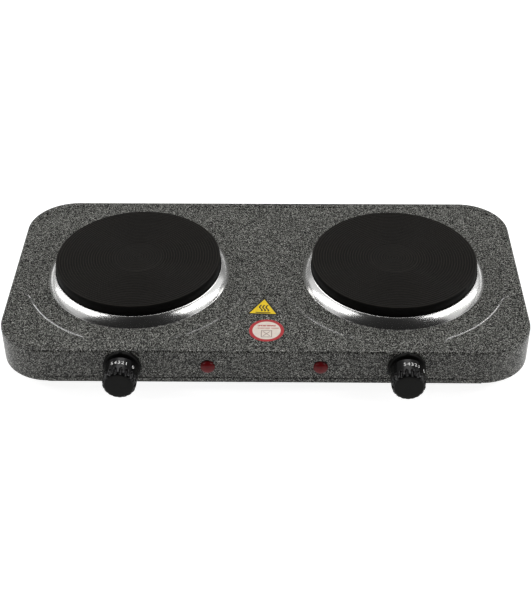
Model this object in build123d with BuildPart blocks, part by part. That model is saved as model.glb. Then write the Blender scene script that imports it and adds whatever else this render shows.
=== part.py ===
from build123d import *
import os
from math import asin, cos, sin

# Double electric hot plate: two cast-iron cooking plates on a pressed-steel housing, in millimetres.
# +Z is up and z = 0 is the bench. The origin is the middle of the whole footprint, so the housing
# itself stands a little behind it, because the knobs reach further forward than the cord gland
# reaches back. -Y is the front, where the knobs are.

# ---- Overall sizes -------------------------------------------------------------------------------
body_width = 483.0
body_depth = 241.0
body_corner = 46.5
wall_height = 35.0
foot_height = 12.0
sheet = 0.8
bend_radius = 2.4

plate_diameter = 156.0
plate_pitch = 243.2
plate_forward = 2.0
plate_rise = 18.5

knob_reach = 28.0
knob_pitch = 254.0
control_drop = 17.0
lamp_pitch = 100.8
gland_reach = 7.0

# ---- Clearances ----------------------------------------------------------------------------------
running = 0.08
easy = 0.3
hole_room = 0.2

# ---- Levels and walls that the rest lines up with ------------------------------------------------
body_y = (knob_reach - gland_reach) / 2
front_y = body_y - body_depth / 2
rear_y = body_y + body_depth / 2
inner_front_y = front_y + sheet
inner_rear_y = rear_y - sheet
base_sheet = 0.6
base_top_z = foot_height + base_sheet
panel_z = foot_height + wall_height
panel_under_z = panel_z - sheet
control_z = panel_z - control_drop
plate_y = body_y - plate_forward
plate_top_z = panel_z + plate_rise

sides = {"left": -1, "right": 1}


def front_plane(x, y, z):
    """A plane that faces forwards, with its own X to the right and its own Y up."""
    return Plane(origin=(x, y, z), x_dir=(1, 0, 0), z_dir=(0, -1, 0))


def save(piece, name):
    """Labels a finished piece and writes it as one STEP file."""
    piece.part.label = name
    export_step(piece.part, f"parts/{name}.step")


def screw(seat, head_radius, head_height, shank_radius, length):
    """A pan-head screw: the head stands on the seat plane, and the shank goes in behind it."""
    with BuildPart() as piece:
        with BuildSketch(seat):
            Circle(head_radius)
        extrude(amount=head_height)
        with BuildSketch(seat.offset(head_height)):
            Rectangle(head_radius * 1.2, head_radius * 0.26)
            Rectangle(head_radius * 0.26, head_radius * 1.2)
        extrude(amount=-head_height * 0.55, mode=Mode.SUBTRACT)
        with BuildSketch(seat):
            Circle(shank_radius)
        extrude(amount=-length)
    return piece.part


def hex_nut(seat, across_flats, height, bore):
    """A hexagon nut whose near face is on the seat plane, growing along the plane's normal."""
    with BuildPart() as piece:
        with BuildSketch(seat):
            RegularPolygon(across_flats / 2, 6, major_radius=False)
            Circle(bore, mode=Mode.SUBTRACT)
        extrude(amount=height)
    return piece.part


def lead(points, bend, radius):
    """An insulated lead along straight runs joined by round bends."""
    with BuildPart() as piece:
        with BuildLine() as route:
            FilletPolyline(*points, radius=bend)
        with BuildSketch(Plane(origin=route.line @ 0, z_dir=route.line % 0)):
            Circle(radius)
        sweep(path=route.line)
    return piece.part


os.makedirs("parts", exist_ok=True)

# ---- Top housing: one deep-drawn sheet, with six shallow fields pressed into its top --------------
rim_width = 7.4
field_depth = 1.0
field_corner = 5.0
trim_outer_radius = 87.0
pad_margin = 19.5
neck_half = 38.5
bar_half = 36.5
aperture_radius = 74.5
shell_height = wall_height - base_sheet
spindle_radius = 3.0
bush_radius = 5.5
bezel_screw_offset = 10.0
bezel_screw_radius = 1.5
lamp_stem_radius = 4.5
gland_body_radius = 6.5
gland_z = foot_height + 16.0

pad_radius = trim_outer_radius + pad_margin


def fields(grow):
    """The pressed-in fields: what is left inside the rim beside the round pads, necks and cross bar."""
    with BuildSketch(Plane((0, body_y, 0))) as flat:
        RectangleRounded(body_width - 2 * rim_width, body_depth - 2 * rim_width, body_corner - rim_width)
        with Locations((-plate_pitch / 2, -plate_forward), (plate_pitch / 2, -plate_forward)):
            Circle(pad_radius, mode=Mode.SUBTRACT)
            Rectangle(2 * neck_half, 2 * body_depth, mode=Mode.SUBTRACT)
        Rectangle(body_width, 2 * bar_half, mode=Mode.SUBTRACT)
        offset(amount=-field_corner, kind=Kind.ARC)
        offset(amount=field_corner + grow, kind=Kind.ARC)
    return flat.sketch


with BuildPart() as cavity:
    with BuildSketch(Plane((0, body_y, foot_height))):
        RectangleRounded(body_width - 2 * sheet, body_depth - 2 * sheet, body_corner - sheet)
    extrude(amount=wall_height - sheet)
    fillet(cavity.edges().group_by(Axis.Z)[-1], bend_radius - sheet)
    with BuildSketch(Plane.XY.offset(panel_under_z)):
        add(fields(sheet))
    extrude(amount=-field_depth, mode=Mode.SUBTRACT)

with BuildPart() as top_housing:
    with BuildSketch(Plane((0, body_y, base_top_z))):
        RectangleRounded(body_width, body_depth, body_corner)
    extrude(amount=shell_height)
    fillet(top_housing.edges().group_by(Axis.Z)[-1], bend_radius)
    with BuildSketch(Plane.XY.offset(panel_z)):
        add(fields(0))
    extrude(amount=-field_depth, mode=Mode.SUBTRACT)
    add(cavity.part, mode=Mode.SUBTRACT)
    with BuildSketch(Plane.XY.offset(panel_z)):
        with Locations((-plate_pitch / 2, plate_y), (plate_pitch / 2, plate_y)):
            Circle(aperture_radius)
    extrude(amount=-2 * sheet, mode=Mode.SUBTRACT)
    with BuildSketch(front_plane(0, front_y, control_z)):
        with Locations((-knob_pitch / 2, 0), (knob_pitch / 2, 0)):
            Circle(bush_radius)
            with GridLocations(2 * bezel_screw_offset, 0, 2, 1):
                Circle(bezel_screw_radius + hole_room)
        with Locations((-lamp_pitch / 2, 0), (lamp_pitch / 2, 0)):
            Circle(lamp_stem_radius + hole_room)
    extrude(amount=-2 * sheet, mode=Mode.SUBTRACT)
    with BuildSketch(front_plane(0, rear_y, gland_z)):
        Circle(gland_body_radius + hole_room)
    extrude(amount=2 * sheet, mode=Mode.SUBTRACT)
save(top_housing, "top_housing")

# ---- Base plate: flat sheet with an upturned flange along each straight side, vents and screw holes --
flange_height = 4.5
flange_sheet = 0.6
vent_length = 22.0
vent_width = 4.0
vent_pitch_x = 30.0
vent_pitch_y = 11.0
vent_columns = 4
vent_rows = 7
foot_inset_x = 52.0
foot_inset_y = 40.0
foot_screw_radius = 2.0
tab_pitch = 330.0
tab_width = 14.0
tab_depth = 13.0
tab_rise = 16.0
tab_sheet = 1.2
housing_screw_radius = 1.7
block_y = rear_y - 45.0
block_width = 40.0
block_depth = 16.0
block_height = 14.0
block_screw_radius = 1.5
way_pitch = 12.0
earth_y = block_y - 32.0
earth_screw_radius = 2.0

foot_x = body_width / 2 - foot_inset_x
foot_spots = {"front": front_y + foot_inset_y, "rear": rear_y - foot_inset_y}
tab_screw_inset = sheet + tab_sheet + (tab_depth - tab_sheet) / 2
tab_spots = {"front": front_y + tab_screw_inset, "rear": rear_y - tab_screw_inset}


with BuildPart() as base_plate:
    with BuildSketch(Plane((0, body_y, foot_height))):
        RectangleRounded(body_width, body_depth, body_corner)
        Rectangle(body_width - 2 * body_corner, body_depth + 2 * flange_sheet)
        Rectangle(body_width + 2 * flange_sheet, body_depth - 2 * body_corner)
    extrude(amount=base_sheet)
    with BuildSketch(Plane((0, body_y, base_top_z))):
        Rectangle(body_width - 2 * body_corner, body_depth + 2 * flange_sheet)
        Rectangle(body_width + 2 * flange_sheet, body_depth - 2 * body_corner)
        RectangleRounded(body_width, body_depth, body_corner, mode=Mode.SUBTRACT)
    extrude(amount=flange_height - base_sheet)
    with BuildSketch(Plane.XY.offset(base_top_z)):
        with Locations((-plate_pitch / 2, plate_y), (plate_pitch / 2, plate_y)):
            with GridLocations(vent_pitch_x, vent_pitch_y, vent_columns, vent_rows):
                SlotOverall(vent_length, vent_width)
        with Locations(*[(side * foot_x, y) for side in sides.values() for y in foot_spots.values()]):
            Circle(foot_screw_radius)
        with Locations(*[(side * tab_pitch / 2, y) for side in sides.values() for y in tab_spots.values()]):
            Circle(housing_screw_radius + hole_room)
        with Locations((0, earth_y)):
            Circle(earth_screw_radius)
        with Locations((-way_pitch / 2, block_y), (way_pitch / 2, block_y)):
            Circle(block_screw_radius)
    extrude(amount=-base_sheet, mode=Mode.SUBTRACT)
save(base_plate, "base_plate")

# ---- Tabs: four L-brackets welded inside the front and rear walls, tapped for the base screws --------
for end, wall_y, inward in (("front", inner_front_y, 1), ("rear", inner_rear_y, -1)):
    for side, sign in sides.items():
        with BuildPart() as tab:
            with BuildSketch(Plane((sign * tab_pitch / 2, wall_y + inward * tab_depth / 2, base_top_z))):
                Rectangle(tab_width, tab_depth)
            extrude(amount=tab_sheet)
            with BuildSketch(Plane((sign * tab_pitch / 2, wall_y + inward * tab_sheet / 2, base_top_z))):
                Rectangle(tab_width, tab_sheet)
            extrude(amount=tab_rise)
            with BuildSketch(Plane((sign * tab_pitch / 2, tab_spots[end], base_top_z))):
                Circle(housing_screw_radius)
            extrude(amount=tab_sheet, mode=Mode.SUBTRACT)
        save(tab, f"tab_{end}_{side}")

housing_screw_head = 3.4
with BuildPart() as housing_screws:
    for sign in sides.values():
        for y in tab_spots.values():
            seat = Plane(origin=(sign * tab_pitch / 2, y, foot_height), z_dir=(0, 0, -1))
            add(screw(seat, housing_screw_head, 2.2, housing_screw_radius, 8.0))
save(housing_screws, "housing_screws")

# ---- Feet: turned rubber, each held by a screw from below into the base plate ------------------------
foot_radius = 11.0
foot_tip_radius = 9.5
foot_well_radius = 4.6
foot_web = 4.0
foot_edge = 1.0

for end, y in foot_spots.items():
    for side, sign in sides.items():
        with BuildPart() as foot:
            with BuildSketch(Plane((sign * foot_x, y, foot_height))):
                Circle(foot_radius)
            with BuildSketch(Plane((sign * foot_x, y, 0))):
                Circle(foot_tip_radius)
            loft()
            fillet(foot.edges().group_by(Axis.Z)[0], foot_edge)
            with BuildSketch(Plane((sign * foot_x, y, foot_height - foot_web))):
                Circle(foot_well_radius)
            extrude(amount=foot_web - foot_height, mode=Mode.SUBTRACT)
            with BuildSketch(Plane((sign * foot_x, y, foot_height))):
                Circle(foot_screw_radius)
            extrude(amount=-foot_web, mode=Mode.SUBTRACT)
        save(foot, f"foot_{end}_{side}")

with BuildPart() as foot_screws:
    for sign in sides.values():
        for y in foot_spots.values():
            seat = Plane(origin=(sign * foot_x, y, foot_height - foot_web), z_dir=(0, 0, -1))
            add(screw(seat, foot_well_radius - 1.0, 2.4, foot_screw_radius, 10.0))
save(foot_screws, "foot_screws")

# ---- Cooking plates: what belongs to each round opening, from the iron down to the clamp ----------
plate_skirt_rise = 5.0
plate_web = 8.0
plate_skirt = 7.5
plate_edge = 1.2
boss_radius = 9.0
groove_pitch = 2.5
groove_width = 1.3
groove_depth = 0.4
inner_zone = 22.0
fine_pitch = 1.6
fine_width = 0.8
fine_depth = 0.2
land_radius = 4.0

trim_rise = 8.6
trim_sheet = 0.5
trim_room = 0.2
trim_bulge = 0.7
seat_width = 5.5

coil_radius = 1.6
coil_inner = 24.0
coil_step = 12.0
coil_turns = 3
pin_radius = 1.2
pin_foot_z = panel_z - 10.0
cover_sheet = 0.6
cover_room = 0.2
pin_hole = 2.6
strip_width = 12.0
strip_height = 6.0
strip_margin = 6.0

bar_width = 20.0
bar_sheet = 3.0
bar_overlap = 11.0
stud_radius = 3.0
stud_grip = 9.0
nut_across = 10.0
nut_height = 4.0
stud_tail = 3.0

plate_radius = plate_diameter / 2
plate_foot_z = panel_z + plate_skirt_rise
web_under_z = plate_top_z - plate_web
cover_top_z = plate_foot_z + cover_sheet
skirt_inner = plate_radius - plate_skirt
bar_top_z = panel_under_z
bar_foot_z = bar_top_z - bar_sheet
stud_foot_z = bar_foot_z - nut_height - stud_tail
coil_z = web_under_z - coil_radius
coil_outer = coil_inner + coil_turns * coil_step
strip_middle = (coil_inner + coil_outer) / 2


def plate_top_outline():
    """Radius and height down the top of the iron, from the middle out to where its edge rounds over."""
    points = [(0, plate_top_z)]
    for begin, end, pitch, width, depth in (
        (land_radius, inner_zone - fine_pitch, fine_pitch, fine_width, fine_depth),
        (inner_zone, plate_radius - plate_edge - groove_pitch / 2, groove_pitch, groove_width, groove_depth),
    ):
        for ring in range(int((end - begin) / pitch) + 1):
            radius = begin + ring * pitch
            points.append((radius, plate_top_z))
            points.append((radius + width / 2, plate_top_z - depth))
            points.append((radius + width, plate_top_z))
    points.append((plate_radius - plate_edge, plate_top_z))
    return points


def half_turns(centre_x, height):
    """The half circles of a flat spiral that starts and ends in front of the plate's centre."""
    near = coil_inner
    for half in range(2 * coil_turns):
        far = near + coil_step / 2
        ahead = -1 if half % 2 == 0 else 1
        start = (centre_x, plate_y + ahead * near, height)
        finish = (centre_x, plate_y - ahead * far, height)
        bulge = (centre_x - ahead * (near + far) / 2, plate_y + ahead * (near - far) / 2, height)
        yield start, bulge, finish
        near = far


def spiral_channel(centre_x, height, width, depth):
    """The open-topped groove that the spiral lies in, cut downwards from the given height."""
    with BuildPart() as piece:
        with BuildLine() as route:
            for start, bulge, finish in half_turns(centre_x, height - depth / 2):
                ThreePointArc(start, bulge, finish)
        with BuildSketch(Plane(origin=route.line @ 0, x_dir=(0, 0, 1), z_dir=route.line % 0)):
            Rectangle(depth, width)
        sweep(path=route.line)
    return piece.part


for side, sign in sides.items():
    plate_x = sign * plate_pitch / 2
    section = Plane(origin=(plate_x, plate_y, 0), x_dir=(1, 0, 0), z_dir=(0, -1, 0))
    turning = Axis((plate_x, plate_y, 0), (0, 0, 1))

    with BuildPart() as hotplate:
        with BuildSketch(section):
            with BuildLine():
                edge_start = (plate_radius - plate_edge, plate_top_z)
                edge_end = (plate_radius, plate_top_z - plate_edge)
                Polyline(*plate_top_outline())
                RadiusArc(edge_start, edge_end, plate_edge)
                Polyline(
                    edge_end,
                    (plate_radius, plate_foot_z),
                    (skirt_inner, plate_foot_z),
                    (skirt_inner, web_under_z),
                    (boss_radius, web_under_z),
                    (boss_radius, cover_top_z),
                    (stud_radius, cover_top_z),
                    (stud_radius, cover_top_z + stud_grip),
                    (0, cover_top_z + stud_grip),
                    (0, plate_top_z),
                )
            make_face()
        revolve(axis=turning)
    save(hotplate, f"hotplate_{side}")

    with BuildPart() as trim_ring:
        with BuildSketch(section):
            with BuildLine():
                lip = plate_radius + trim_room
                crown = panel_z + trim_rise
                outer_foot = (trim_outer_radius, panel_z)
                outer_crown = (lip + 2 * trim_sheet, crown)
                inner_crown = (lip + trim_sheet, crown - 2 * trim_sheet)
                inner_foot = (trim_outer_radius - 2 * trim_sheet, panel_z)
                middle_r = (outer_foot[0] + outer_crown[0]) / 2 + trim_bulge
                middle_z = (outer_foot[1] + outer_crown[1]) / 2 + trim_bulge
                ThreePointArc(outer_foot, (middle_r, middle_z), outer_crown)
                Polyline(
                    outer_crown,
                    (lip, crown),
                    (lip, plate_foot_z),
                    (lip - seat_width, plate_foot_z),
                    (lip - seat_width, plate_foot_z - trim_sheet),
                    (lip + trim_sheet, plate_foot_z - trim_sheet),
                    inner_crown,
                )
                inner_middle = (middle_r - trim_sheet * 1.2, middle_z - trim_sheet * 1.2)
                ThreePointArc(inner_crown, inner_middle, inner_foot)
                Line(inner_foot, outer_foot)
            make_face()
        revolve(axis=turning)
    save(trim_ring, f"trim_ring_{side}")

    with BuildPart() as heating_coil:
        with BuildLine() as route:
            for start, bulge, finish in half_turns(plate_x, coil_z):
                ThreePointArc(start, bulge, finish)
        with BuildSketch(Plane(origin=route.line @ 0, z_dir=route.line % 0)):
            Circle(coil_radius)
        sweep(path=route.line)
        with BuildSketch(Plane.XY.offset(pin_foot_z)):
            with Locations((plate_x, plate_y - coil_inner), (plate_x, plate_y - coil_outer)):
                Circle(pin_radius)
        extrude(amount=coil_z - pin_foot_z)
    save(heating_coil, f"heating_coil_{side}")

    with BuildPart() as insulation:
        with BuildSketch(Plane((plate_x, plate_y, cover_top_z))):
            Circle(skirt_inner)
            Circle(boss_radius, mode=Mode.SUBTRACT)
            with Locations((0, -coil_inner), (0, -coil_outer)):
                Circle(pin_radius, mode=Mode.SUBTRACT)
        extrude(amount=web_under_z - cover_top_z)
        channel = spiral_channel(plate_x, web_under_z, 2 * coil_radius, 2 * coil_radius)
        add(channel, mode=Mode.SUBTRACT)
    save(insulation, f"insulation_{side}")

    with BuildPart() as coil_cover:
        with BuildSketch(Plane((plate_x, plate_y, plate_foot_z))):
            Circle(skirt_inner - cover_room)
            Circle(stud_radius, mode=Mode.SUBTRACT)
            with Locations((0, -coil_inner), (0, -coil_outer)):
                Circle(pin_hole, mode=Mode.SUBTRACT)
        extrude(amount=cover_sheet)
    save(coil_cover, f"coil_cover_{side}")

    with BuildPart() as pin_strip:
        with BuildSketch(Plane((plate_x, plate_y - strip_middle, plate_foot_z))):
            SlotOverall(coil_outer - coil_inner + 2 * strip_margin, strip_width, rotation=90)
            with Locations((0, coil_outer - strip_middle), (0, coil_inner - strip_middle)):
                Circle(pin_radius, mode=Mode.SUBTRACT)
        extrude(amount=-strip_height)
    save(pin_strip, f"pin_strip_{side}")

    with BuildPart() as clamp_bar:
        with BuildSketch(Plane((plate_x, plate_y, bar_top_z))):
            SlotOverall(2 * (aperture_radius + bar_overlap), bar_width)
            Circle(stud_radius, mode=Mode.SUBTRACT)
        extrude(amount=-bar_sheet)
    save(clamp_bar, f"clamp_bar_{side}")

    with BuildPart() as centre_stud:
        with BuildSketch(Plane((plate_x, plate_y, stud_foot_z))):
            Circle(stud_radius)
        extrude(amount=cover_top_z + stud_grip - stud_foot_z)
        chamfer(centre_stud.edges().group_by(Axis.Z)[0], stud_radius / 5)
    save(centre_stud, f"centre_stud_{side}")

    with BuildPart() as stud_nuts:
        for top in (plate_foot_z, bar_foot_z):
            seat = Plane(origin=(plate_x, plate_y, top), z_dir=(0, 0, -1))
            add(hex_nut(seat, nut_across, nut_height, stud_radius))
    save(stud_nuts, f"stud_nuts_{side}")

# ---- Controls: thermostat behind the front wall, bezel in front of it, spindle and knob -----------
bezel_radius = 17.0
bezel_depth = 3.5
bezel_chamfer = 0.8
pointer_width = 3.4
pointer_rise = 1.6
bezel_pocket = 2.2
bush_reach = 3.0
bezel_screw_head = 2.8
bezel_screw_height = 1.9
bezel_screw_length = 6.0
stat_width = 28.0
stat_height = 27.0
stat_depth = 24.0
stat_wall = 4.0
flange_radius = 4.6
flange_thickness = 1.5
flange_room = 0.25
blade_sheet = 0.8
blade_width = 5.0
blade_spread = 7.0
blade_tail = 7.0
blade_drop = 6.0
cam_gap = 0.6

knob_gap = 3.0
knob_base_radius = 15.8
knob_tip_radius = 14.3
knob_edge = 3.3
knob_wall = 3.8
knob_roof = 3.0
flute_count = 18
flute_length = 8.0
flute_radius = 1.2
flute_bite = 0.9
hub_radius = 5.5
hub_wall = 2.0
hub_recess = 0.5
spindle_flat = 1.0
spindle_grip = 14.0

knob_base = bezel_depth + knob_gap
hub_base = knob_base + hub_recess
spindle_tip = hub_base + spindle_grip
shaft_slot = spindle_radius + running
chamber_front = -sheet - stat_wall
stat_rear = -sheet - stat_depth
spindle_heel = chamber_front - flange_room - flange_thickness
blade_z = control_z - blade_drop

for side, sign in sides.items():
    control_x = sign * knob_pitch / 2
    wall = front_plane(control_x, front_y, control_z)

    with BuildPart() as thermostat:
        with BuildSketch(wall.offset(-sheet)):
            Rectangle(stat_width, stat_height)
        extrude(amount=-stat_depth)
        with BuildSketch(wall.offset(chamber_front)):
            with Locations((0, -stat_wall)):
                Rectangle(stat_width - 2 * stat_wall, stat_height)
        extrude(amount=stat_rear + stat_wall - chamber_front, mode=Mode.SUBTRACT)
        with BuildSketch(wall.offset(-sheet)):
            Circle(bush_radius - hole_room)
        extrude(amount=sheet + bush_reach)
        with BuildSketch(wall.offset(bush_reach)):
            Circle(shaft_slot)
        extrude(amount=chamber_front - bush_reach, mode=Mode.SUBTRACT)
        with BuildSketch(wall.offset(-sheet)):
            with GridLocations(2 * bezel_screw_offset, 0, 2, 1):
                Circle(bezel_screw_radius)
        extrude(amount=-bezel_screw_length, mode=Mode.SUBTRACT)
        with BuildSketch(wall.offset(stat_rear)):
            with Locations((0, blade_z - control_z)):
                with GridLocations(2 * blade_spread, 0, 2, 1):
                    Rectangle(blade_width, blade_sheet)
        extrude(amount=stat_wall, mode=Mode.SUBTRACT)
    save(thermostat, f"thermostat_{side}")

    with BuildPart() as contact_blades:
        with BuildSketch(wall.offset(stat_rear - blade_tail)):
            with Locations((0, blade_z - control_z)):
                with GridLocations(2 * blade_spread, 0, 2, 1):
                    Rectangle(blade_width, blade_sheet)
        extrude(amount=spindle_heel - cam_gap - stat_rear + blade_tail)
    save(contact_blades, f"contact_blades_{side}")

    with BuildPart() as thermostat_screws:
        for offset_x in (-bezel_screw_offset, bezel_screw_offset):
            seat = front_plane(control_x + offset_x, front_y, control_z)
            add(screw(seat, bezel_screw_head, bezel_screw_height, bezel_screw_radius, bezel_screw_length))
    save(thermostat_screws, f"thermostat_screws_{side}")

    with BuildPart() as knob_bezel:
        with BuildSketch(wall):
            Circle(bezel_radius)
            with Locations((0, bezel_radius)):
                Rectangle(pointer_width, 2 * pointer_rise)
        extrude(amount=bezel_depth)
        chamfer(knob_bezel.edges().group_by(Axis.Y)[0], bezel_chamfer)
        with BuildSketch(wall):
            Circle(bush_radius)
        extrude(amount=bezel_depth, mode=Mode.SUBTRACT)
        with BuildSketch(wall):
            with GridLocations(2 * bezel_screw_offset, 0, 2, 1):
                Circle(bezel_screw_head + easy)
        extrude(amount=bezel_pocket, mode=Mode.SUBTRACT)
        with BuildSketch(front_plane(control_x, front_y, foot_height + flange_height + easy)):
            Rectangle(2 * bezel_radius, bezel_radius, align=(Align.CENTER, Align.MAX))
        extrude(amount=flange_sheet + hole_room, mode=Mode.SUBTRACT)
    save(knob_bezel, f"knob_bezel_{side}")

    with BuildPart() as spindle:
        with BuildSketch(wall.offset(spindle_heel)):
            Circle(spindle_radius)
        extrude(amount=spindle_tip - spindle_heel)
        with BuildSketch(wall.offset(spindle_heel)):
            Circle(flange_radius)
        extrude(amount=flange_thickness)
        with BuildSketch(wall.offset(hub_base)):
            with Locations((0, spindle_radius)):
                Rectangle(2 * spindle_radius, 2 * spindle_flat)
        extrude(amount=spindle_grip, mode=Mode.SUBTRACT)
    save(spindle, f"spindle_{side}")

    with BuildPart() as knob:
        with BuildSketch(wall.offset(knob_base)):
            Circle(knob_base_radius)
        with BuildSketch(wall.offset(knob_reach)):
            Circle(knob_tip_radius)
        loft()
        fillet(knob.edges().group_by(Axis.Y)[0], knob_edge)
        with BuildSketch(wall.offset(knob_base)):
            Circle(knob_base_radius - knob_wall)
        extrude(amount=knob_reach - knob_roof - knob_base, mode=Mode.SUBTRACT)
        with BuildSketch(wall.offset(hub_base)):
            Circle(hub_radius)
            with PolarLocations(0, 4):
                with Locations(((hub_radius + knob_tip_radius) / 2 - hub_wall / 2, 0)):
                    Rectangle(knob_tip_radius - hub_radius - hub_wall / 2, hub_wall)
            Circle(knob_tip_radius - knob_wall / 2, mode=Mode.INTERSECT)
        extrude(amount=knob_reach - knob_roof - hub_base)
        with BuildSketch(wall.offset(hub_base)):
            Circle(spindle_radius)
            with Locations((0, spindle_radius)):
                Rectangle(2 * spindle_radius, 2 * spindle_flat, mode=Mode.SUBTRACT)
        extrude(amount=spindle_grip, mode=Mode.SUBTRACT)
        with BuildSketch(wall.offset(knob_reach)):
            with PolarLocations(knob_tip_radius + flute_radius - flute_bite, flute_count):
                Circle(flute_radius)
        extrude(amount=-flute_length, mode=Mode.SUBTRACT)
    save(knob, f"knob_{side}")

# ---- Lamps: a domed lens whose stem is pressed through the wall, with a neon tube inside it -------
lens_radius = 6.4
lens_rise = 4.5
lens_rim = 0.9
stem_length = 13.0
stem_wall = 1.0
neon_radius = 2.6
neon_length = 9.0
neon_pinch = 5.0
neon_pinch_width = 6.6
neon_pinch_sheet = 1.6

dome_rise = lens_rise - lens_rim
dome_radius = (lens_radius**2 + dome_rise**2) / (2 * dome_rise)
dome_half = asin(lens_radius / dome_radius) / 2

for side, sign in sides.items():
    lamp_x = sign * lamp_pitch / 2
    wall = front_plane(lamp_x, front_y, control_z)
    section = Plane(origin=(lamp_x, front_y, control_z), x_dir=(1, 0, 0), z_dir=(0, 0, 1))
    turning = Axis((lamp_x, front_y, control_z), (0, 1, 0))

    with BuildPart() as lamp_lens:
        with BuildSketch(section):
            with BuildLine():
                rim = (lens_radius, -lens_rim)
                shoulder = (dome_radius * sin(dome_half), dome_radius * (1 - cos(dome_half)) - lens_rise)
                ThreePointArc(rim, shoulder, (0, -lens_rise))
                Polyline(
                    (0, -lens_rise),
                    (0, stem_wall),
                    (lamp_stem_radius - stem_wall, stem_wall),
                    (lamp_stem_radius - stem_wall, stem_length),
                    (lamp_stem_radius, stem_length),
                    (lamp_stem_radius, 0),
                    (lens_radius, 0),
                    rim,
                )
            make_face()
        revolve(axis=turning)
    save(lamp_lens, f"lamp_lens_{side}")

    with BuildPart() as neon_bulb:
        with BuildSketch(wall.offset(-stem_wall)):
            Circle(neon_radius)
        extrude(amount=-neon_length)
        fillet(neon_bulb.edges().group_by(Axis.Y)[0], neon_radius * 0.7)
        with BuildSketch(wall.offset(-stem_wall - neon_length)):
            Rectangle(neon_pinch_width, neon_pinch_sheet)
        extrude(amount=-neon_pinch)
    save(neon_bulb, f"neon_bulb_{side}")

# ---- Mains entry: rubber bush in the rear wall, terminal block and earth screw on the base ---------
gland_flange_radius = 9.5
gland_tip_radius = 6.0
gland_lip = 2.0
cord_radius = 3.6
way_rise = 7.0
way_radius = 3.0
way_screw_radius = 1.6
wire_radius = 1.2
eyelet_radius = 4.5
eyelet_sheet = 0.8

section = Plane(origin=(0, rear_y, gland_z), x_dir=(1, 0, 0), z_dir=(0, 0, 1))
turning = Axis((0, rear_y, gland_z), (0, 1, 0))
with BuildPart() as cord_bush:
    with BuildSketch(section):
        with BuildLine():
            Polyline(
                (cord_radius, -sheet - gland_lip),
                (cord_radius, gland_reach),
                (gland_tip_radius, gland_reach),
                (gland_flange_radius - gland_lip / 2, gland_lip),
                (gland_flange_radius, 0),
                (gland_body_radius, 0),
                (gland_body_radius, -sheet),
                (gland_flange_radius, -sheet),
                (gland_flange_radius, -sheet - gland_lip),
                close=True,
            )
        make_face()
    revolve(axis=turning)
save(cord_bush, "cord_bush")

ways = {"live": -way_pitch, "earth": 0.0, "neutral": way_pitch}
way_screw_length = block_height - way_rise - wire_radius
way_z = base_top_z + way_rise
block_front_y = block_y - block_depth / 2

with BuildPart() as terminal_block:
    with BuildSketch(Plane((0, block_y, base_top_z))):
        Rectangle(block_width, block_depth)
    extrude(amount=block_height)
    with BuildSketch(front_plane(0, block_front_y, way_z)):
        with GridLocations(way_pitch, 0, 3, 1):
            Circle(way_radius)
    extrude(amount=-block_depth, mode=Mode.SUBTRACT)
    with BuildSketch(Plane((0, block_y, base_top_z + block_height))):
        with GridLocations(way_pitch, 0, 3, 1):
            Circle(way_screw_radius)
    extrude(amount=way_rise - block_height, mode=Mode.SUBTRACT)
    with BuildSketch(Plane((0, block_y, base_top_z))):
        with GridLocations(way_pitch, 0, 2, 1):
            Circle(block_screw_radius)
    extrude(amount=block_height, mode=Mode.SUBTRACT)
save(terminal_block, "terminal_block")

with BuildPart() as way_screws:
    for x in ways.values():
        seat = Plane((x, block_y, base_top_z + block_height))
        add(screw(seat, way_screw_radius + 0.9, 1.6, way_screw_radius, way_screw_length))
save(way_screws, "way_screws")

with BuildPart() as earth_screw:
    seat = Plane((0, earth_y, base_top_z + eyelet_sheet))
    add(screw(seat, eyelet_radius - 0.7, 2.4, earth_screw_radius, 7.0))
save(earth_screw, "earth_screw")

with BuildPart() as block_screws:
    for x in (-way_pitch / 2, way_pitch / 2):
        seat = Plane((x, block_y, base_top_z + block_height))
        add(screw(seat, block_screw_radius + 0.8, 1.6, block_screw_radius, block_height + 4.0))
save(block_screws, "block_screws")

eyelet_reach = 14.0
barrel_radius = 1.8
with BuildPart() as earth_eyelet:
    with BuildSketch(Plane((0, earth_y, base_top_z))):
        Circle(eyelet_radius)
        with Locations((0, eyelet_radius)):
            Rectangle(2 * barrel_radius, 2 * eyelet_radius)
        Circle(earth_screw_radius, mode=Mode.SUBTRACT)
    extrude(amount=eyelet_sheet)
    with BuildSketch(front_plane(0, earth_y + eyelet_radius * 1.4, base_top_z + barrel_radius)):
        Circle(barrel_radius)
    extrude(amount=eyelet_radius * 1.4 - eyelet_reach)
save(earth_eyelet, "earth_eyelet")

# ---- Leads: glass-sleeved wire, each run held at both ends and laid clear of the hot parts ----------
wire_bend = 4.0
wire_grip = 4.0
twin_offset = 1.4
low_lane = base_top_z + 4.4
high_lane = foot_height + 17.0
blade_end_y = front_y - stat_rear + blade_tail
lamp_wire_radius = 0.8
lamp_wire_offset = 1.8
lamp_wire_bend = 2.6
neon_end_y = front_y + stem_wall + neon_length + neon_pinch

with BuildPart() as live_leads:
    for sign in sides.values():
        start_x = ways["live"] + sign * twin_offset
        blade_x = sign * (knob_pitch / 2 + blade_spread)
        route = [
            (start_x, block_front_y + wire_grip, way_z),
            (start_x, block_front_y - 16.0, way_z),
            (sign * (plate_pitch / 2 - 20.0), plate_y + 22.0, low_lane),
            (blade_x, plate_y - 48.0, low_lane),
            (blade_x, blade_end_y + 16.0, blade_z),
            (blade_x, blade_end_y, blade_z),
        ]
        add(lead(route, wire_bend, wire_radius))
save(live_leads, "live_leads")

with BuildPart() as load_leads:
    for sign in sides.values():
        blade_x = sign * (knob_pitch / 2 - blade_spread)
        pin_x = sign * plate_pitch / 2
        route = [
            (blade_x, blade_end_y, blade_z),
            (blade_x, blade_end_y + 9.0, blade_z),
            (pin_x, plate_y - coil_outer, blade_z),
            (pin_x, plate_y - coil_outer, pin_foot_z),
        ]
        add(lead(route, wire_bend, wire_radius))
save(load_leads, "load_leads")

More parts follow.
